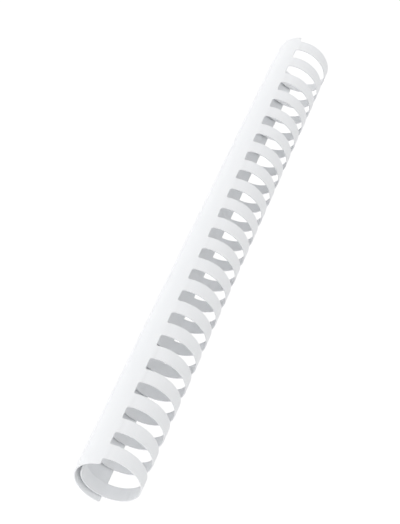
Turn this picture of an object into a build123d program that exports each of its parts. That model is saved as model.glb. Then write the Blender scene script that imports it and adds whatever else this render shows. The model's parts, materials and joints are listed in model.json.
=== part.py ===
"""Plastic binding comb of the 28 mm size: one spine with a row of sprung rings.

The comb lies on its spine, with its rings arching over the top. X runs along the comb,
+Z is up, and the origin is on the surface it rests on, under the middle of the spine's
axis. Sections are drawn in the YZ plane, with angles in degrees from +Y towards +Z.

A real comb is punched and curled from a single sheet, and each ring bends along its whole
length. Here each ring bends at two lines: at its root, where it leaves the spine, and at
its crown. Both lines lie on the outer skin, so that a ring opens without running into
its neighbour. The bow is the part of a ring between the two lines, and the tail is the
rest, which curls on and tucks inside the spine.
"""

import os
from math import cos, radians, sin

from build123d import *

# Row of rings: the punched sheet has one ring for each slot of a standard hole row.
ring_count = 21
pitch = 14.2875

# Sheet.
wall = 0.55

# Spine: an open shell, as long as the ring row with half a slot beyond each end.
spine_radius = 14.5
spine_arc = 158.0
spine_corner = 0.8

# The rings leave the spine's edge here. The comb's weight holds that edge nearly level
# with the axis, with the spine's free edge lower.
root_angle = 180.7

# Rings: each opens out a little from the spine's circle, then curls tighter.
ring_spread = 0.3
opening_turn = 105.0
ring_turn = 296.0
root_width = 7.4
crown_width = 7.0
tip_width = 6.4
tip_round = 2.6
tuck_clearance = 0.3

# Ring roots: a short stub of each ring stays on the spine, with a rounded slot corner.
root_turn = 6.0
slot_corner = 1.0

# Bending lines, as turns along the ring from the spine's edge.
crown_turn = 158.0

# The trimming sheets run this far past the strip that they trim.
trim_margin = 1.0


def direction(angle):
    """Unit vector in the section plane at an angle from +Y towards +Z."""
    return Vector(cos(radians(angle)), sin(radians(angle)))


# Section layout, as points of the section plane: Y first, then height.
ring_radius = spine_radius + ring_spread
free_angle = root_angle + spine_arc
axis_point = Vector(0, spine_radius)
bow_start = root_angle - root_turn
opening_centre = axis_point + direction(bow_start) * (spine_radius - ring_radius)
opening_end = direction(root_angle - opening_turn)

# The tighter curl is tangent to the opening arc, and passes under the spine's free edge
# with the tuck clearance.
tuck_point = axis_point + direction(free_angle) * (spine_radius - wall - tuck_clearance)
tuck_vector = tuck_point - opening_centre
tuck_reach = tuck_vector.dot(opening_end)
curl_radius = (2 * ring_radius * tuck_reach - ring_radius**2 - tuck_vector.length**2) / (
    2 * (tuck_reach - ring_radius)
)
curl_centre = opening_centre + opening_end * (ring_radius - curl_radius)

root_line = axis_point + direction(bow_start) * spine_radius
crown_line = curl_centre + direction(root_angle - crown_turn) * curl_radius
tip_line = curl_centre + direction(root_angle - ring_turn) * curl_radius

row_start = -pitch * (ring_count - 1) / 2
ring_places = [row_start + number * pitch for number in range(ring_count)]


def strip_section(centre, radius, start_angle, turn):
    """Section of a curved strip, one wall thick inwards from its outer skin."""
    with BuildSketch() as section:
        with BuildLine():
            outer = CenterArc(centre, radius, start_angle, turn)
            inner = CenterArc(centre, radius - wall, start_angle, turn)
            Line(outer @ 0, inner @ 0)
            Line(outer @ 1, inner @ 1)
        make_face()
    return section.sketch


def side_trim(place, start, end, start_width, end_width):
    """Slab whose sides taper evenly between two widths, along the chord from start to end."""
    chord = end - start
    slope = (end_width - start_width) / 2 / chord.length
    near, far = -trim_margin, chord.length + trim_margin
    near_half = start_width / 2 + slope * near
    far_half = start_width / 2 + slope * far
    trim_plane = Plane(
        origin=(place, start.X, start.Y),
        x_dir=(1, 0, 0),
        z_dir=Vector(1, 0, 0).cross(Vector(0, chord.X, chord.Y)),
    )
    with BuildPart() as trim:
        with BuildSketch(trim_plane):
            with BuildLine():
                Polyline(
                    (-near_half, near),
                    (near_half, near),
                    (far_half, far),
                    (-far_half, far),
                    close=True,
                )
            make_face()
        extrude(amount=2 * ring_radius, both=True)
    return trim.part


os.makedirs("parts", exist_ok=True)

# Spine: the shell, and the stub of every ring along one of its long edges.
spine_length = ring_count * pitch
with BuildPart() as spine:
    with BuildSketch(Plane.YZ):
        add(strip_section(axis_point, spine_radius, root_angle, spine_arc))
    extrude(amount=spine_length / 2, both=True)
    shell_corners = spine.edges().filter_by(lambda edge: edge.length < 1.5 * wall)
    fillet(shell_corners, radius=spine_corner)
    for place in ring_places:
        with BuildSketch(Plane.YZ.offset(place)):
            add(strip_section(axis_point, spine_radius, root_angle, -root_turn))
        extrude(amount=root_width / 2, both=True)
    shell_edge = axis_point + direction(root_angle) * (spine_radius - wall / 2)
    slot_corners = spine.edges().filter_by(
        lambda edge: edge.length < 1.5 * wall
        and Vector((edge @ 0.5).Y, (edge @ 0.5).Z).sub(shell_edge).length < wall / 2
        and abs((edge @ 0.5).X) < spine_length / 2 - spine_corner
    )
    fillet(slot_corners, radius=slot_corner)
spine.part.label = "spine"
export_step(spine.part, "parts/spine.step")

for number, place in enumerate(ring_places, start=1):
    # Bow: from the ring's root, round the opening arc, to the crown.
    with BuildPart() as bow:
        with BuildSketch(Plane.YZ.offset(place)):
            add(strip_section(opening_centre, ring_radius, bow_start, root_turn - opening_turn))
            curl_start = root_angle - opening_turn
            add(strip_section(curl_centre, curl_radius, curl_start, opening_turn - crown_turn))
        extrude(amount=root_width, both=True)
        add(side_trim(place, root_line, crown_line, root_width, crown_width), mode=Mode.INTERSECT)
    bow.part.label = f"ring_{number:02d}_bow"
    export_step(bow.part, f"parts/{bow.part.label}.step")

    # Tail: from the crown, down and in behind the spine, to the rounded tip.
    with BuildPart() as tail:
        with BuildSketch(Plane.YZ.offset(place)):
            tail_start = root_angle - crown_turn
            add(strip_section(curl_centre, curl_radius, tail_start, crown_turn - ring_turn))
        extrude(amount=root_width, both=True)
        add(side_trim(place, crown_line, tip_line, crown_width, tip_width), mode=Mode.INTERSECT)
        tip_point = Vector(place, tip_line.X, tip_line.Y)
        wall_edges = tail.edges().filter_by(lambda edge: edge.length < 1.5 * wall)
        tip_corners = wall_edges.sort_by(lambda edge: (edge @ 0.5 - tip_point).length)[:2]
        fillet(tip_corners, radius=tip_round)
    tail.part.label = f"ring_{number:02d}_tail"
    export_step(tail.part, f"parts/{tail.part.label}.step")

print(f"root line at Y {root_line.X:.4f} Z {root_line.Y:.4f}")
print(f"crown line at Y {crown_line.X:.4f} Z {crown_line.Y:.4f}")
print(f"curl radius {curl_radius:.4f}")
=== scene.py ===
"""Looks of a white plastic binding comb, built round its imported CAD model.

A comb is one sheet of rigid white PVC, die-cut flat and then heat-curled. Each piece here is
made the same way: a flat grid of the sheet is laid along the comb's section by a Geometry Nodes
formula, given its wall, and its cut edges are rounded. Lengths are in metres, X runs along the
comb, +Z is up, and sections lie in the YZ plane, with angles in radians from +Y towards +Z.
"""

import json
import logging
import math
from dataclasses import dataclass
from enum import Enum
from typing import Union

import bmesh
import bpy
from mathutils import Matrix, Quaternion, Vector


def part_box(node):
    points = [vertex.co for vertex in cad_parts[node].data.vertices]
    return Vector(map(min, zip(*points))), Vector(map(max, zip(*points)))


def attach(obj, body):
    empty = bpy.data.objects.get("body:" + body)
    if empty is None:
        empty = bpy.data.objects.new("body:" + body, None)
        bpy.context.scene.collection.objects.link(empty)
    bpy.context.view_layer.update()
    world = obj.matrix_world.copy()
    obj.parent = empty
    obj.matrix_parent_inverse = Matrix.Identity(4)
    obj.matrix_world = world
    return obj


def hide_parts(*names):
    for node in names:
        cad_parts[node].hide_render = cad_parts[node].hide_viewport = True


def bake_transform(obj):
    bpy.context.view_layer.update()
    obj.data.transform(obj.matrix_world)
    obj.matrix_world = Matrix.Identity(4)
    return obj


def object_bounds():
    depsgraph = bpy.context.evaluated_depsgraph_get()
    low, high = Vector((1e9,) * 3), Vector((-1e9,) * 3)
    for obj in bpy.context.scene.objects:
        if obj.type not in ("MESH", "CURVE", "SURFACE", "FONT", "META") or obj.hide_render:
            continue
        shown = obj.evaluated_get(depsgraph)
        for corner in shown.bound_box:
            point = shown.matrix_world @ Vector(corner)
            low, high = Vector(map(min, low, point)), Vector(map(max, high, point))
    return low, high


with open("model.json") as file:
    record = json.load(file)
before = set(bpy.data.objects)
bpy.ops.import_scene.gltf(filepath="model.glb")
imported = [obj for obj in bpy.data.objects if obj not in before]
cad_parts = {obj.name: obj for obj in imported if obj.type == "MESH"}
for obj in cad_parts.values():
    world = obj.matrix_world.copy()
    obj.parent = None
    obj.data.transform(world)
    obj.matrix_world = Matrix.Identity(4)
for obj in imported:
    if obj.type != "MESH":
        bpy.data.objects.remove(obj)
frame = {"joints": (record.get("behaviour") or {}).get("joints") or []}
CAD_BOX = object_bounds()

LOG = logging.getLogger("binding_comb")
MM = 0.001
QUARTER = math.pi / 2

# Attributes of the flat sheet that its pieces carry, and the one that the rounding reads.
SHEET_PLACE = "sheet_place"
EDGE_DISTANCE = "edge_distance"
CUT_EDGE = "bevel_weight_edge"

# Two turns closer than this are one line of the sheet, and two points closer are one point.
SAME_TURN = 1e-5
SAME_POINT = 0.001 * MM

Amount = Union["Term", float]


class Kind(Enum):
    """What an input of a tree holds, as its socket type."""

    NUMBER = "NodeSocketFloat"
    COUNT = "NodeSocketInt"
    FINISH = "NodeSocketMaterial"


def feed(slot: bpy.types.NodeSocket, value: object) -> None:
    """Gives a node's input its value.

    Args:
        slot: The input socket.
        value: A Term to link, or a plain number, vector, name or material.
    """
    if isinstance(value, Term):
        slot.id_data.links.new(value.socket, slot)
    else:
        slot.default_value = value


def live(sockets: bpy.types.bpy_prop_collection, name: str) -> bpy.types.NodeSocket:
    """Finds the socket in use among those of one name.

    Args:
        sockets: A node's inputs or outputs.
        name: The socket's name.

    Returns:
        The first enabled socket with that name.
    """
    return next(socket for socket in sockets if socket.name == name and socket.enabled)


def add_node(tree: bpy.types.NodeTree, kind: str, settings: dict[str, object] | None = None,
             **values: object) -> bpy.types.Node:
    """Adds a node to a tree.

    Args:
        tree: The tree that gets the node.
        kind: The node's type.
        settings: Properties of the node itself.
        **values: Inputs by name, with underscores for spaces.

    Returns:
        The new node.
    """
    node = tree.nodes.new(kind)
    for name, value in (settings or {}).items():
        setattr(node, name, value)
    for name, value in values.items():
        feed(live(node.inputs, name.replace("_", " ")), value)
    return node


def work_out(tree: bpy.types.NodeTree, operation: str, *values: Amount) -> "Term":
    """Adds a Math node.

    Args:
        tree: The tree that gets the node.
        operation: What the node does.
        *values: Its inputs in order.

    Returns:
        Its result.
    """
    node = add_node(tree, "ShaderNodeMath", {"operation": operation})
    for slot, value in zip(node.inputs, values):
        feed(slot, value)
    return Term(node.outputs[0])


class Term:
    """A number that a node tree works out. Arithmetic on it adds Math nodes to the tree."""

    def __init__(self, socket: bpy.types.NodeSocket) -> None:
        """Wraps an output socket."""
        self.socket = socket

    def math(self, operation: str, *others: Amount) -> "Term":
        """Adds a Math node that starts from this number."""
        return work_out(self.socket.id_data, operation, self, *others)

    def __add__(self, other: Amount) -> "Term":
        """Sum."""
        return self.math("ADD", other)

    def __radd__(self, other: float) -> "Term":
        """Sum with a plain number."""
        return self.math("ADD", other)

    def __sub__(self, other: Amount) -> "Term":
        """Difference."""
        return self.math("SUBTRACT", other)

    def __rsub__(self, other: float) -> "Term":
        """Difference from a plain number."""
        return work_out(self.socket.id_data, "SUBTRACT", other, self)

    def __mul__(self, other: Amount) -> "Term":
        """Product."""
        return self.math("MULTIPLY", other)

    def __rmul__(self, other: float) -> "Term":
        """Product with a plain number."""
        return self.math("MULTIPLY", other)

    def __truediv__(self, other: Amount) -> "Term":
        """Quotient."""
        return self.math("DIVIDE", other)

    def sine(self) -> "Term":
        """Sine of an angle."""
        return self.math("SINE")

    def cosine(self) -> "Term":
        """Cosine of an angle."""
        return self.math("COSINE")

    def size(self) -> "Term":
        """The number without its sign."""
        return self.math("ABSOLUTE")

    def lower(self, other: Amount) -> "Term":
        """The lower of two amounts."""
        return self.math("MINIMUM", other)

    def below(self, other: Amount) -> "Term":
        """1 where this is lower than the other amount, and 0 elsewhere."""
        return self.math("LESS_THAN", other)

    def ramp(self, start: Amount, end: Amount) -> "Term":
        """Share of the way from start to end.

        Args:
            start: Where the share is 0.
            end: Where the share is 1.

        Returns:
            The share, held between 0 and 1.
        """
        share = (self - start) / (end - start)
        share.socket.node.use_clamp = True
        return share


class Recipe:
    """A Geometry Nodes tree in the making, with named inputs for its sizes."""

    def __init__(self, name: str) -> None:
        """Starts a tree with one geometry output."""
        self.tree = bpy.data.node_groups.new(name, "GeometryNodeTree")
        self.tree.interface.new_socket("Sheet", in_out="OUTPUT",
                                       socket_type="NodeSocketGeometry")
        self.source = self.tree.nodes.new("NodeGroupInput")

    def ask(self, name: str, kind: Kind = Kind.NUMBER) -> Term:
        """Adds a named input.

        Args:
            name: The input's name.
            kind: What it holds.

        Returns:
            The value that a modifier gives it.
        """
        self.tree.interface.new_socket(name, in_out="INPUT", socket_type=kind.value)
        return Term(self.source.outputs[name])

    def node(self, kind: str, settings: dict[str, object] | None = None,
             **values: object) -> bpy.types.Node:
        """Adds a node, with its inputs by name."""
        return add_node(self.tree, kind, settings, **values)

    def place(self) -> tuple[Term, Term]:
        """X and Y of each point of the flat sheet."""
        position = Term(self.node("GeometryNodeInputPosition").outputs[0])
        parts = self.node("ShaderNodeSeparateXYZ", Vector=position)
        return Term(parts.outputs["X"]), Term(parts.outputs["Y"])

    def point(self, x: Amount, y: Amount, z: Amount) -> Term:
        """A point or vector from its three parts."""
        return Term(self.node("ShaderNodeCombineXYZ", X=x, Y=y, Z=z).outputs[0])

    def grid(self, cells_across: Term, cells_along: Term) -> tuple[Term, Term, Term]:
        """Makes a flat grid.

        Args:
            cells_across: Cells in X.
            cells_along: Cells in Y.

        Returns:
            The grid, and each point's column and row, from 0.
        """
        grid = self.node("GeometryNodeMeshGrid", Size_X=1.0, Size_Y=1.0,
                         Vertices_X=cells_across + 1, Vertices_Y=cells_along + 1)
        x, y = self.place()
        column = ((x + 0.5) * cells_across).math("ROUND")
        row = ((y + 0.5) * cells_along).math("ROUND")
        return Term(grid.outputs["Mesh"]), column, row

    def store(self, sheet: Term, name: str, value: Term, domain: str = "POINT",
              data_type: str = "FLOAT") -> Term:
        """Stores a named attribute.

        Args:
            sheet: The geometry that gets it.
            name: The attribute's name.
            value: Its value at each element.
            domain: What it is stored on.
            data_type: What kind of value it is.

        Returns:
            The geometry with the attribute.
        """
        node = self.node("GeometryNodeStoreNamedAttribute",
                         {"data_type": data_type, "domain": domain},
                         Geometry=sheet, Name=name, Value=value)
        return Term(node.outputs[0])

    def move(self, sheet: Term, position: Term) -> Term:
        """Puts each point of the sheet at a new position."""
        node = self.node("GeometryNodeSetPosition", Geometry=sheet, Position=position)
        return Term(node.outputs[0])

    def mark_cut_edges(self, sheet: Term, turn: Term, seams: list[Term]) -> Term:
        """Marks the die-cut outline for rounding, and leaves out seams to the next piece.

        Args:
            sheet: The flat sheet.
            turn: Turn round the comb at each point.
            seams: Turns at which the sheet goes on in another piece.

        Returns:
            The sheet with a weight of 1 on its cut edges.
        """
        faces = Term(self.node("GeometryNodeInputMeshEdgeNeighbors").outputs["Face Count"])
        cut = faces.below(1.5)
        for seam in seams:
            cut = cut * (1 - (turn - seam).size().below(SAME_TURN))
        return self.store(sheet, CUT_EDGE, cut, domain="EDGE")

    def finish(self, sheet: Term, skin: Term) -> None:
        """Ends the tree with real geometry and its finish.

        Args:
            sheet: The finished geometry.
            skin: The material of its faces.
        """
        real = self.node("GeometryNodeRealizeInstances", Geometry=sheet)
        dressed = self.node("GeometryNodeSetMaterial", Geometry=Term(real.outputs[0]),
                            Material=skin)
        result = self.tree.nodes.new("NodeGroupOutput")
        feed(result.inputs[0], Term(dressed.outputs[0]))


@dataclass(frozen=True)
class Spread:
    """Where rows of points fall, and how far round corners set the sides in at each row."""

    place: Term
    start_inset: Term
    end_inset: Term


def spread(number: Term, cells: Amount, length: Amount, start: tuple[Amount, Amount],
           end: tuple[Amount, Amount]) -> Spread:
    """Spaces rows evenly, apart from stretches at both ends that may hold a round corner.

    Args:
        number: The row's number, from 0.
        cells: Cells in all.
        length: The whole length.
        start: Cells in the first stretch, and its length.
        end: Cells in the last stretch, and its length.

    Returns:
        The rows' places and insets.
    """
    start_cells, start_length = start
    end_cells, end_length = end
    start_angle = (1 - number.ramp(0, start_cells)) * QUARTER
    end_angle = number.ramp(cells - end_cells, cells) * QUARTER
    even = number.ramp(start_cells, cells - end_cells) * (length - start_length - end_length)
    place = (1 - start_angle.sine()) * start_length + even + end_angle.sine() * end_length
    return Spread(place, (1 - start_angle.cosine()) * start_length,
                  (1 - end_angle.cosine()) * end_length)


@dataclass(frozen=True)
class Arc:
    """A round stretch of the section."""

    y: float
    z: float
    radius: float

    def at(self, angle: float) -> Vector:
        """The arc's point at an angle, in the YZ plane."""
        return Vector((0, self.y + self.radius * math.cos(angle),
                       self.z + self.radius * math.sin(angle)))


@dataclass(frozen=True)
class CombSection:
    """Section across the comb. Turns are counted from the edge that the rings leave.

    The rings leave the spine upwards, and turn the other way round from the spine.
    """

    crown_line: Vector
    wall: float = 0.55 * MM
    spine_radius: float = 14.5 * MM
    spine_turn: float = math.radians(158.0)
    spine_corner: float = 0.8 * MM
    root_angle: float = math.radians(180.7)
    ring_spread: float = 0.3 * MM
    opening_turn: float = math.radians(105.0)
    crown_turn: float = math.radians(158.0)
    ring_turn: float = math.radians(296.0)
    root_turn: float = math.radians(6.0)
    slot_corner: float = 1.0 * MM
    root_width: float = 7.4 * MM
    crown_width: float = 7.0 * MM
    tip_width: float = 6.4 * MM
    tip_round: float = 2.6 * MM

    @property
    def opening(self) -> Arc:
        """The rings' first arc, tangent to the spine's circle where the rings are rooted."""
        start = self.root_angle - self.root_turn
        return Arc(-self.ring_spread * math.cos(start),
                   self.spine_radius - self.ring_spread * math.sin(start),
                   self.spine_radius + self.ring_spread)

    @property
    def curl(self) -> Arc:
        """The rings' tighter arc, tangent to the first one and through the crown line."""
        unit = Arc(0, 0, 1)
        meeting = unit.at(self.root_angle - self.opening_turn)
        crown = unit.at(self.root_angle - self.crown_turn)
        middle = Vector((0, self.opening.y, self.opening.z))
        reach = self.crown_line - middle - meeting * self.opening.radius
        radius = reach.dot(crown - meeting) / (crown - meeting).length_squared
        centre = middle + meeting * (self.opening.radius - radius)
        return Arc(centre.y, centre.z, radius)

    def onward(self, turn: float) -> Vector:
        """The way on along a ring at a turn, away from its root."""
        angle = self.root_angle - turn
        return Vector((0, math.sin(angle), -math.cos(angle)))


def start_material(name: str) -> tuple[bpy.types.Material, bpy.types.Node]:
    """Makes a material with its one shader.

    Args:
        name: The material's name.

    Returns:
        The material and its shader.
    """
    material = bpy.data.materials.new(name)
    material.use_nodes = True
    return material, material.node_tree.nodes["Principled BSDF"]


def read_attribute(tree: bpy.types.NodeTree, name: str, output: str) -> Term:
    """Reads an attribute that a piece carries.

    Args:
        tree: The material's tree.
        name: The attribute's name.
        output: Which output of the node to take.

    Returns:
        The attribute's value.
    """
    return Term(add_node(tree, "ShaderNodeAttribute", {"attribute_name": name}).outputs[output])


def noise(tree: bpy.types.NodeTree, place: Term, size: tuple[float, float, float],
          layers: float) -> Term:
    """Adds a noise pattern.

    Args:
        tree: The material's tree.
        place: The coordinates that it follows.
        size: Length of its marks along each coordinate.
        layers: How many finer layers lie over the first.

    Returns:
        The pattern, from 0 to 1.
    """
    scale = tuple(1 / length for length in size)
    mapping = add_node(tree, "ShaderNodeMapping", Vector=place, Scale=scale)
    pattern = add_node(tree, "ShaderNodeTexNoise", Vector=Term(mapping.outputs[0]), Scale=1.0,
                       Detail=layers)
    return Term(pattern.outputs["Fac"])


def mix_tones(tree: bpy.types.NodeTree, share: Term, first: tuple[float, float, float],
              second: tuple[float, float, float]) -> Term:
    """Mixes two colours.

    Args:
        tree: The material's tree.
        share: Share of the second colour.
        first: The first colour.
        second: The second colour.

    Returns:
        The mixed colour.
    """
    node = add_node(tree, "ShaderNodeMix", {"data_type": "RGBA"}, Factor=share,
                    A=(*first, 1), B=(*second, 1))
    return Term(live(node.outputs, "Result"))


def relief(tree: bpy.types.NodeTree, height: Term) -> Term:
    """Turns a height in metres into a surface normal."""
    return Term(add_node(tree, "ShaderNodeBump", Height=height, Distance=1.0).outputs[0])


@dataclass(frozen=True)
class SatinSkin:
    """Finish of the sheet's faces: calendered white PVC with a fine satin grain."""

    name: str = "satin_white_sheet"
    colour: tuple[float, float, float] = (0.878, 0.886, 0.898)
    cool_tone: tuple[float, float, float] = (0.856, 0.868, 0.884)
    roughness: float = 0.42
    specular: float = 0.42
    scatter: float = 0.4
    scatter_length: float = 0.45 * MM
    grain_size: float = 0.35 * MM
    grain_depth: float = 0.004 * MM
    line_spacing: float = 0.9 * MM
    line_length: float = 60 * MM
    line_depth: float = 0.006 * MM
    cloud_size: float = 26 * MM
    cloud_share: float = 0.6
    line_share: float = 0.4
    pattern_low: float = 0.3
    pattern_high: float = 0.7
    cloud_gloss: float = 0.12
    grain_gloss: float = 0.1
    rolled_band: float = 0.5 * MM
    rolled_gloss: float = 0.08

    def make(self) -> bpy.types.Material:
        """Builds the material, patterned in the flat sheet's own coordinates.

        Returns:
            The material.
        """
        material, shader = start_material(self.name)
        tree = material.node_tree
        place = read_attribute(tree, SHEET_PLACE, "Vector")
        edge = read_attribute(tree, EDGE_DISTANCE, "Fac")
        grain = noise(tree, place, (self.grain_size,) * 3, 3)
        lines = noise(tree, place, (self.line_length, self.line_spacing, 1.0), 2)
        clouds = noise(tree, place, (self.cloud_size,) * 3, 4)
        rolled = 1 - edge.ramp(0, self.rolled_band)
        low, high = self.pattern_low, self.pattern_high
        share = clouds.ramp(low, high) * self.cloud_share + lines.ramp(low, high) * self.line_share
        feed(shader.inputs["Base Color"], mix_tones(tree, share, self.colour, self.cool_tone))
        gloss = (self.roughness + (clouds - 0.5) * self.cloud_gloss
                 + (grain - 0.5) * self.grain_gloss + rolled * self.rolled_gloss)
        feed(shader.inputs["Roughness"], gloss)
        height = grain * self.grain_depth + lines * self.line_depth
        feed(shader.inputs["Normal"], relief(tree, height))
        shader.inputs["Specular IOR Level"].default_value = self.specular
        shader.inputs["Subsurface Weight"].default_value = self.scatter
        shader.inputs["Subsurface Radius"].default_value = (1.0, 1.0, 1.0)
        shader.inputs["Subsurface Scale"].default_value = self.scatter_length
        return material


@dataclass(frozen=True)
class DieCutEdge:
    """Finish of the cut edges: rougher than the faces, with the die's fine marks."""

    name: str = "die_cut_edge"
    colour: tuple[float, float, float] = (0.885, 0.89, 0.9)
    torn_tone: tuple[float, float, float] = (0.82, 0.83, 0.845)
    roughness: float = 0.58
    specular: float = 0.35
    mark_size: float = 0.12 * MM
    mark_depth: float = 0.012 * MM
    mark_low: float = 0.4
    mark_high: float = 0.8
    mark_gloss: float = 0.2

    def make(self) -> bpy.types.Material:
        """Builds the material, patterned in the flat sheet's own coordinates.

        Returns:
            The material.
        """
        material, shader = start_material(self.name)
        tree = material.node_tree
        place = read_attribute(tree, SHEET_PLACE, "Vector")
        marks = noise(tree, place, (self.mark_size,) * 3, 2)
        torn = marks.ramp(self.mark_low, self.mark_high)
        tone = mix_tones(tree, torn, self.colour, self.torn_tone)
        feed(shader.inputs["Base Color"], tone)
        feed(shader.inputs["Roughness"], self.roughness + (marks - 0.5) * self.mark_gloss)
        feed(shader.inputs["Normal"], relief(tree, marks * self.mark_depth))
        shader.inputs["Specular IOR Level"].default_value = self.specular
        return material


@dataclass(frozen=True)
class PaleFloor:
    """Finish of the studio floor: a white sweep, lit from below as a light table is."""

    name: str = "white_sweep"
    tone: float = 0.8
    tone_change: float = 0.01
    cloud_size: float = 0.3
    glow: float = 0.41
    roughness: float = 0.9

    def make(self) -> bpy.types.Material:
        """Builds the material.

        Returns:
            The material.
        """
        material, shader = start_material(self.name)
        tree = material.node_tree
        place = Term(add_node(tree, "ShaderNodeTexCoord").outputs["Object"])
        shade = noise(tree, place, (self.cloud_size,) * 3, 1) * self.tone_change + self.tone
        colour = add_node(tree, "ShaderNodeCombineColor", Red=shade, Green=shade, Blue=shade)
        feed(shader.inputs["Base Color"], Term(colour.outputs[0]))
        shader.inputs["Roughness"].default_value = self.roughness
        shader.inputs["Specular IOR Level"].default_value = 0.0
        shader.inputs["Emission Color"].default_value = (1, 1, 1, 1)
        shader.inputs["Emission Strength"].default_value = self.glow
        return material


@dataclass(frozen=True)
class SheetStock:
    """What every piece of the comb is cut from: its wall, rounded edges and two finishes."""

    wall: float
    skin: bpy.types.Material
    edge: bpy.types.Material
    edge_round: float = 0.08 * MM
    edge_segments: int = 3
    sharp_angle: float = math.radians(50)

    def form(self, name: str, tree: bpy.types.NodeTree, sizes: dict[str, float | int]
             ) -> bpy.types.Object:
        """Makes one piece of curled sheet as a plain mesh.

        Args:
            name: The piece's name.
            tree: The tree that lays out its outer skin.
            sizes: The tree's inputs by name.

        Returns:
            The finished piece, at the origin.
        """
        blank = bpy.data.objects.new(name + "_blank", bpy.data.meshes.new(name + "_blank"))
        bpy.context.scene.collection.objects.link(blank)
        blank.data.materials.append(self.skin)
        blank.data.materials.append(self.edge)
        self._curl(blank, tree, {**sizes, "Skin": self.skin})
        self._thicken(blank)
        graph = bpy.context.evaluated_depsgraph_get()
        mesh = bpy.data.meshes.new_from_object(blank.evaluated_get(graph), depsgraph=graph,
                                               preserve_all_data_layers=True)
        bpy.data.objects.remove(blank)
        mesh.name = name
        self._tidy(mesh)
        piece = bpy.data.objects.new(name, mesh)
        bpy.context.scene.collection.objects.link(piece)
        return piece

    @staticmethod
    def _curl(blank: bpy.types.Object, tree: bpy.types.NodeTree, inputs: dict[str, object]
              ) -> None:
        """Adds the tree to a blank and sets each of its inputs by the socket's identifier.

        Args:
            blank: The object that gets the tree.
            tree: The tree that lays out the outer skin.
            inputs: The tree's inputs by name.
        """
        modifier = blank.modifiers.new("curl", "NODES")
        modifier.node_group = tree
        for item in tree.interface.items_tree:
            if item.in_out == "INPUT":
                modifier[item.identifier] = inputs[item.name]

    def _thicken(self, blank: bpy.types.Object) -> None:
        """Gives the skin its wall, inwards, and rounds the cut edges.

        Args:
            blank: The object that carries the skin.
        """
        wall = blank.modifiers.new("wall", "SOLIDIFY")
        wall.thickness = self.wall
        wall.offset = -1
        wall.material_offset_rim = 1
        edge = blank.modifiers.new("edge", "BEVEL")
        edge.width = self.edge_round
        edge.segments = self.edge_segments
        edge.limit_method = "WEIGHT"
        edge.use_clamp_overlap = False

    def _tidy(self, mesh: bpy.types.Mesh) -> None:
        """Sets a mesh's finishes and shading, and reports whether it is closed.

        Args:
            mesh: The piece's mesh.
        """
        if len(mesh.materials) < 2:
            mesh.materials.append(self.edge)
        marked = mesh.attributes.get(CUT_EDGE)
        if marked is not None:
            mesh.attributes.remove(marked)
        mesh.shade_smooth()
        mesh.set_sharp_from_angle(angle=self.sharp_angle)
        check = bmesh.new()
        check.from_mesh(mesh)
        open_edges = sum(not edge.is_manifold for edge in check.edges)
        volume = check.calc_volume(signed=True) / MM**3
        check.free()
        LOG.info("%s: %d faces, %d open edges, %.1f cubic mm", mesh.name, len(mesh.polygons),
                 open_edges, volume)


def dress(node: str) -> None:
    """Hides a CAD node, which a built piece stands for."""
    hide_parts(node)


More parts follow.
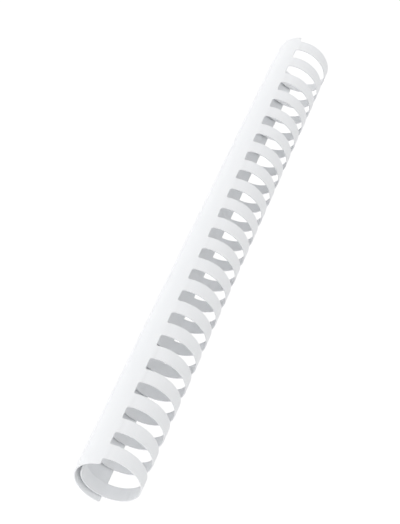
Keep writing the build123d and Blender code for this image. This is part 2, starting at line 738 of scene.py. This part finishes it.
@dataclass
class Spine:
    """The spine: the long shell, with the stub of every ring along one edge."""

    section: CombSection
    stock: SheetStock
    ring_count: int
    pitch: float
    node: str = "spine"
    gap_cells: int = 2
    ring_cells: int = 6
    corner_cells: int = 6
    shell_rows: int = 76
    edge_margin: float = 0.2 * MM
    seam_margin: float = 0.05 * MM

    def build(self) -> bpy.types.Object:
        """Makes the spine's sheet and lets it ride on its body.

        Returns:
            The piece.
        """
        section = self.section
        piece = self.stock.form("spine_sheet", self._recipe(), {
            "Ring Count": self.ring_count,
            "Pitch": self.pitch,
            "Radius": section.spine_radius,
            "Root Angle": section.root_angle,
            "Shell Turn": section.spine_turn,
            "Shell Corner": section.spine_corner,
            "Root Width": section.root_width,
            "Slot Corner": section.slot_corner,
            "Stub Turn": section.root_turn,
        })
        dress(self.node)
        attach(piece, self.node)
        return piece

    def _recipe(self) -> bpy.types.NodeTree:
        """Writes the tree that lays out the spine's outer skin.

        The sheet is laid flat first, with Y 0 on the edge that the rings leave, the shell
        below it and the stubs above it.

        Returns:
            The tree.
        """
        recipe = Recipe("curled_spine")
        count = recipe.ask("Ring Count", Kind.COUNT)
        pitch = recipe.ask("Pitch")
        radius = recipe.ask("Radius")
        root_angle = recipe.ask("Root Angle")
        depth = recipe.ask("Shell Turn") * radius
        corner = recipe.ask("Shell Corner")
        root_half = recipe.ask("Root Width") / 2
        slot_corner = recipe.ask("Slot Corner")
        stub_turn = recipe.ask("Stub Turn")
        skin = recipe.ask("Skin", Kind.FINISH)
        flare = root_half + slot_corner
        shell = self._shell(recipe, count, pitch, depth, corner, flare)
        stub = self._stub(recipe, stub_turn * radius, slot_corner, flare)
        middles = recipe.node("GeometryNodeMeshLine", Count=count,
                              Start_Location=recipe.point(pitch * (1 - count) / 2, 0.0, 0.0),
                              Offset=recipe.point(pitch, 0.0, 0.0))
        row = recipe.node("GeometryNodeInstanceOnPoints", Points=Term(middles.outputs[0]),
                          Instance=stub)
        stubs = recipe.node("GeometryNodeRealizeInstances", Geometry=Term(row.outputs[0]))
        joined = recipe.node("GeometryNodeJoinGeometry", Geometry=shell)
        feed(joined.inputs[0], Term(stubs.outputs[0]))
        welded = recipe.node("GeometryNodeMergeByDistance", Geometry=Term(joined.outputs[0]),
                             Distance=SAME_POINT)
        x, y = recipe.place()
        turn = y / radius
        sheet = recipe.mark_cut_edges(Term(welded.outputs[0]), turn, [stub_turn])
        sheet = recipe.store(sheet, SHEET_PLACE, recipe.point(x, y, 0.0),
                             data_type="FLOAT_VECTOR")
        angle = root_angle - turn
        curled = recipe.point(x, radius * angle.cosine(), radius * angle.sine() + radius)
        recipe.finish(recipe.move(sheet, curled), skin)
        return recipe.tree

    def _shell(self, recipe: Recipe, count: Term, pitch: Term, depth: Term, corner: Term,
               flare: Term) -> Term:
        """Lays out the shell flat.

        Args:
            recipe: The tree.
            count: How many rings there are.
            pitch: From one ring to the next.
            depth: From the rings' edge to the free edge.
            corner: Radius of the shell's four corners.
            flare: Half the width of a ring's root where it meets the shell.

        Returns:
            The flat shell.
        """
        cells = 2 * self.gap_cells + self.ring_cells
        grid, column, row = recipe.grid(count * cells, row_count(recipe, self.shell_rows))
        number = ((column + 0.5) / cells).math("FLOOR").lower(count - 1)
        step = column - number * cells
        gap = pitch / 2 - flare
        margin = (1, self.edge_margin)
        ring = spread(step - self.gap_cells, self.ring_cells, flare * 2, margin, margin)
        gaps = (step.ramp(0, self.gap_cells) + step.ramp(cells - self.gap_cells, cells)) * gap
        half = count * pitch / 2
        even_x = number * pitch + gaps + ring.place - half
        rounded = (self.corner_cells, corner)
        rows = spread(row, self.shell_rows, depth, rounded, rounded)
        last_gap = even_x.size().ramp(half - gap, half)
        squeezed = last_gap.ramp(0, 0.5) * (gap - self.edge_margin) + last_gap.ramp(
            0.5, 1) * self.edge_margin
        inset = (rows.start_inset + rows.end_inset) * squeezed / gap
        reach = even_x.size().lower(half - gap) + squeezed - inset
        x = even_x.math("SIGN") * reach
        off_ring = flare - (ring.place - flare).size()
        edge = (depth - rows.place + off_ring).lower(rows.place).lower(half - reach)
        sheet = recipe.store(grid, EDGE_DISTANCE, edge)
        return recipe.move(sheet, recipe.point(x, rows.place - depth, 0.0))

    def _stub(self, recipe: Recipe, length: Term, slot_corner: Term, flare: Term) -> Term:
        """Lays out one ring's stub flat, with the round slot corners at its foot.

        Args:
            recipe: The tree.
            length: From the shell's edge to the ring's root line.
            slot_corner: Radius of the slot corners.
            flare: Half the stub's width at its foot.

        Returns:
            The flat stub, about X 0.
        """
        rows = self.corner_cells + 2
        grid, column, row = recipe.grid(row_count(recipe, self.ring_cells),
                                        row_count(recipe, rows))
        angle = row.ramp(0, self.corner_cells) * QUARTER
        half = flare - slot_corner * angle.sine()
        straight = length - slot_corner - self.seam_margin
        y = ((1 - angle.cosine()) * slot_corner + row.ramp(rows - 2, rows - 1) * straight
             + row.ramp(rows - 1, rows) * self.seam_margin)
        margin = (1, self.edge_margin)
        x = spread(column, self.ring_cells, half * 2, margin, margin).place - half
        sheet = recipe.store(grid, EDGE_DISTANCE, half - x.size())
        return recipe.move(sheet, recipe.point(x, y, 0.0))


def row_count(recipe: Recipe, cells: int) -> Term:
    """A fixed count of cells as a term of the tree."""
    node = recipe.node("FunctionNodeInputInt", {"integer": cells})
    return Term(node.outputs[0])


class Stretch(Enum):
    """The two stretches of a ring, by the ends of their node names."""

    BOW = "bow"
    TAIL = "tail"


@dataclass
class Ring:
    """One ring, in two pieces: the bow over the top, and the tail tucked inside.

    A ring sways towards +X as it curls, and its tail drifts inwards, by an amount of its own.
    """

    section: CombSection
    stock: SheetStock
    tree: bpy.types.NodeTree
    name: str
    place: float
    root_line: Vector
    number: int
    rows: int = 60
    tip_rows: int = 8
    seam_margin: float = 0.05 * MM
    root_bend: float = 6 * MM
    crown_bend: float = 8 * MM
    least_sway: float = 1.9 * MM
    most_sway: float = 2.3 * MM
    most_drift: float = 0.3 * MM
    seed: int = 7

    def build(self) -> list[bpy.types.Object]:
        """Makes the bow and the tail.

        Returns:
            The two pieces.
        """
        section = self.section
        bow, tail = f"{self.name}_bow", f"{self.name}_tail"
        bow_piece = self._form(Stretch.BOW, section.root_turn, section.crown_turn,
                               section.root_width, section.crown_width)
        root = self.root_line
        root + section.onward(section.root_turn) * self.root_bend
        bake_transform(bow_piece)
        tail_piece = self._form(Stretch.TAIL, section.crown_turn, section.ring_turn,
                                section.crown_width, section.tip_width)
        crown = section.crown_line
        crown + section.onward(section.crown_turn) * self.crown_bend
        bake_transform(tail_piece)
        dress(bow)
        dress(tail)
        return [bow_piece, tail_piece]

    def _form(self, stretch: Stretch, first_turn: float, last_turn: float, first_width: float,
              last_width: float) -> bpy.types.Object:
        """Forms one stretch of the ring.

        Args:
            stretch: Which stretch it is.
            first_turn: Turn at which it starts.
            last_turn: Turn at which it ends.
            first_width: Width at its start.
            last_width: Width at its end.

        Returns:
            The piece.
        """
        section = self.section
        opening, curl = section.opening, section.curl
        is_tail = stretch is Stretch.TAIL
        return self.stock.form(f"{self.name}_{stretch.value}_strip", self.tree, {
            "Place": self.place,
            "Ring Number": self.number,
            "Seed": self.seed,
            "Rows": self.rows,
            "First Turn": first_turn,
            "Last Turn": last_turn,
            "First Width": first_width,
            "Last Width": last_width,
            "Seam Margin": self.seam_margin,
            "End Rows": self.tip_rows if is_tail else 1,
            "End Length": section.tip_round if is_tail else self.seam_margin,
            "Free End": int(is_tail),
            "Root Angle": section.root_angle,
            "Opening Turn": section.opening_turn,
            "Opening Y": opening.y,
            "Opening Z": opening.z,
            "Opening Radius": opening.radius,
            "Curl Y": curl.y,
            "Curl Z": curl.z,
            "Curl Radius": curl.radius,
            "Crown Turn": section.crown_turn,
            "Ring Turn": section.ring_turn,
            "Spine Radius": section.spine_radius,
            "Least Sway": self.least_sway,
            "Most Sway": self.most_sway,
            "Most Drift": self.most_drift,
        })


@dataclass(frozen=True)
class RingPattern:
    """How a ring's strip is laid out: the cells across it and the margin at its edges."""

    cells_across: int = 6
    edge_margin: float = 0.2 * MM

    def recipe(self) -> bpy.types.NodeTree:
        """Writes the tree that lays out the outer skin of a stretch of a ring.

        Returns:
            The tree.
        """
        recipe = Recipe("curled_ring")
        place = recipe.ask("Place")
        number = recipe.ask("Ring Number", Kind.COUNT)
        seed = recipe.ask("Seed", Kind.COUNT)
        rows = recipe.ask("Rows", Kind.COUNT)
        first, last = recipe.ask("First Turn"), recipe.ask("Last Turn")
        first_half = recipe.ask("First Width") / 2
        last_half = recipe.ask("Last Width") / 2
        seam_margin = recipe.ask("Seam Margin")
        end_rows = recipe.ask("End Rows", Kind.COUNT)
        end_length = recipe.ask("End Length")
        free_end = recipe.ask("Free End", Kind.COUNT)
        root_angle = recipe.ask("Root Angle")
        opening_turn = recipe.ask("Opening Turn")
        opening = [recipe.ask(f"Opening {part}") for part in ("Y", "Z", "Radius")]
        curl = [recipe.ask(f"Curl {part}") for part in ("Y", "Z", "Radius")]
        crown_turn, ring_turn = recipe.ask("Crown Turn"), recipe.ask("Ring Turn")
        spine_radius = recipe.ask("Spine Radius")
        least_sway, most_sway = recipe.ask("Least Sway"), recipe.ask("Most Sway")
        most_drift = recipe.ask("Most Drift")
        skin = recipe.ask("Skin", Kind.FINISH)

        grid, column, row = recipe.grid(row_count(recipe, self.cells_across), rows)
        curl_radius = curl[2]
        along = spread(row, rows, (last - first) * curl_radius, (1, seam_margin),
                       (end_rows, end_length))
        turn = first + along.place / curl_radius
        half = (first_half + (last_half - first_half) * turn.ramp(first, last)
                - along.end_inset * free_end)
        margin = (1, self.edge_margin)
        across = spread(column, self.cells_across, half * 2, margin, margin).place - half

        sway = self._chance(recipe, number, seed, least_sway, most_sway)
        drift = self._chance(recipe, number, seed + 1, 0.0, most_drift)
        curled_share = turn.ramp(0, ring_turn)
        tucked_share = turn.ramp(crown_turn, ring_turn)
        x = place + across + sway * curled_share * curled_share

        in_opening = turn.below(opening_turn)
        y_middle, z_middle, radius = (
            tight + (wide - tight) * in_opening for wide, tight in zip(opening, curl))
        radius = radius - drift * tucked_share * tucked_share
        angle = root_angle - turn
        curled = recipe.point(x, y_middle + radius * angle.cosine(),
                              z_middle + radius * angle.sine())

        side = half - across.size()
        end = (last - turn) * curl_radius + (1 - free_end)
        sheet = recipe.mark_cut_edges(grid, turn, [first, last + free_end])
        sheet = recipe.store(sheet, SHEET_PLACE, recipe.point(x, turn * spine_radius, 0.0),
                             data_type="FLOAT_VECTOR")
        sheet = recipe.store(sheet, EDGE_DISTANCE, side.lower(end))
        recipe.finish(recipe.move(sheet, curled), skin)
        return recipe.tree

    @staticmethod
    def _chance(recipe: Recipe, number: Term, seed: Term, low: Amount, high: Amount) -> Term:
        """A random amount that is fixed for each ring.

        Args:
            recipe: The tree.
            number: The ring's number.
            seed: The seed.
            low: The least amount.
            high: The greatest amount.

        Returns:
            The amount.
        """
        node = recipe.node("FunctionNodeRandomValue", {"data_type": "FLOAT"}, Min=low, Max=high,
                           ID=number, Seed=seed)
        return Term(live(node.outputs, "Value"))


@dataclass(frozen=True)
class Panel:
    """A soft light panel, aimed at the comb."""

    name: str
    place: Vector
    width: float
    height: float
    power: float
    colour: tuple[float, float, float] = (1.0, 1.0, 1.0)

    def hang(self, target: Vector) -> None:
        """Hangs the panel, facing the target.

        Args:
            target: The point that the panel faces.
        """
        light = bpy.data.lights.new(self.name, "AREA")
        light.shape = "RECTANGLE"
        light.size = self.width
        light.size_y = self.height
        light.energy = self.power
        light.color = self.colour
        panel = bpy.data.objects.new(self.name, light)
        panel.location = self.place
        panel.rotation_mode = "QUATERNION"
        panel.rotation_quaternion = (target - self.place).to_track_quat("-Z", "Y")
        bpy.context.scene.collection.objects.link(panel)


@dataclass(frozen=True)
class Viewpoint:
    """Where the camera stands, by the point that it looks at."""

    aim: Vector
    azimuth: float
    elevation: float
    distance: float
    roll: float
    lens: float
    sensor: float = 36.0
    nearest: float = 0.05
    farthest: float = 60.0

    def stand(self) -> bpy.types.Object:
        """Sets up the camera.

        Returns:
            The camera.
        """
        data = bpy.data.cameras.new("studio_camera")
        data.sensor_width = self.sensor
        data.lens = self.lens
        data.clip_start, data.clip_end = self.nearest, self.farthest
        camera = bpy.data.objects.new("studio_camera", data)
        level = math.cos(self.elevation)
        back = Vector((math.sin(self.azimuth) * level, -math.cos(self.azimuth) * level,
                       math.sin(self.elevation)))
        camera.location = self.aim + back * self.distance
        camera.rotation_mode = "QUATERNION"
        upright = (-back).to_track_quat("-Z", "Y")
        camera.rotation_quaternion = upright @ Quaternion((0, 0, 1), self.roll)
        bpy.context.scene.collection.objects.link(camera)
        bpy.context.scene.camera = camera
        return camera


@dataclass(frozen=True)
class Studio:
    """The floor, the soft light round it and the camera."""

    middle: Vector
    floor_radius: float = 12.0
    floor_sides: int = 96
    floor_drop: float = 0.02 * MM
    horizon_light: float = 0.9
    zenith_light: float = 0.80
    zenith_height: float = 0.7

    def build(self) -> None:
        """Lays the floor, lights it and sets up the camera."""
        self._lay_floor()
        self._light_room()
        panels = (
            Panel("root_side_panel", Vector((0.1, -1.3, 0.35)), 1.8, 0.7, 0.3),
            Panel("near_end_panel", Vector((1.3, -0.4, 0.5)), 0.8, 0.8, 0.3),
        )
        for panel in panels:
            panel.hang(self.middle)
        Viewpoint(
            aim=Vector((8.78, 5.30, 7.66)) * MM,
            azimuth=math.radians(43.557),
            elevation=math.radians(17.674),
            distance=0.7397,
            roll=math.radians(99.09),
            lens=105.1,
        ).stand()
        bpy.context.scene.view_settings.view_transform = "Standard"

    def _lay_floor(self) -> None:
        """Lays a round floor just under the comb."""
        shape = bmesh.new()
        bmesh.ops.create_circle(shape, cap_ends=True, segments=self.floor_sides,
                                radius=self.floor_radius)
        bmesh.ops.translate(shape, verts=shape.verts, vec=(0, 0, -self.floor_drop))
        mesh = bpy.data.meshes.new("floor")
        shape.to_mesh(mesh)
        shape.free()
        mesh.materials.append(PaleFloor().make())
        floor = bpy.data.objects.new("floor", mesh)
        bpy.context.scene.collection.objects.link(floor)

    def _light_room(self) -> None:
        """Fills the room with soft light that is brightest near the horizon."""
        world = bpy.data.worlds.new("studio_room")
        world.use_nodes = True
        tree = world.node_tree
        way = Term(add_node(tree, "ShaderNodeTexCoord").outputs["Generated"])
        height = Term(add_node(tree, "ShaderNodeSeparateXYZ", Vector=way).outputs["Z"])
        light = self.horizon_light + height.ramp(0, self.zenith_height) * (
            self.zenith_light - self.horizon_light)
        background = tree.nodes["Background"]
        background.inputs["Color"].default_value = (1, 1, 1, 1)
        feed(background.inputs["Strength"], light)
        bpy.context.scene.world = world


def comb_frame() -> tuple[list[str], Vector, Vector]:
    """Reads the rings' names and their two bending lines from the frame.

    Returns:
        The rings' names in order, the root line and the crown line.
    """
    joints = {joint["name"]: joint for joint in frame["joints"]}
    names = sorted(name.removesuffix("_open") for name in joints if name.endswith("_open"))
    root_line = Vector(joints[f"{names[0]}_open"]["pos_m"])
    crown_line = Vector(joints[f"{names[0]}_uncurl"]["pos_m"])
    return names, root_line, crown_line


def ring_middle(name: str) -> float:
    """Where a ring lies along the comb, from its bow."""
    low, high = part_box(f"{name}_bow")
    return (low.x + high.x) / 2


def main() -> None:
    """Builds the comb and its studio."""
    logging.basicConfig(level=logging.INFO, format="%(name)s: %(message)s")
    names, root_line, crown_line = comb_frame()
    section = CombSection(crown_line=crown_line)
    stock = SheetStock(section.wall, SatinSkin().make(), DieCutEdge().make())
    places = [ring_middle(name) for name in names]
    pitch = (places[-1] - places[0]) / (len(places) - 1)
    spine = Spine(section, stock, ring_count=len(names), pitch=pitch).build()
    LOG.info("%s stands for the spine", spine.name)
    tree = RingPattern().recipe()
    for number, (name, place) in enumerate(zip(names, places), start=1):
        ring = Ring(section, stock, tree, name, place, root_line, number)
        pieces = ring.build()
        LOG.info("%s: %s", name, ", ".join(piece.name for piece in pieces))
    low, high = CAD_BOX
    Studio(middle=(low + high) / 2).build()


if __name__ == "__main__":
    main()
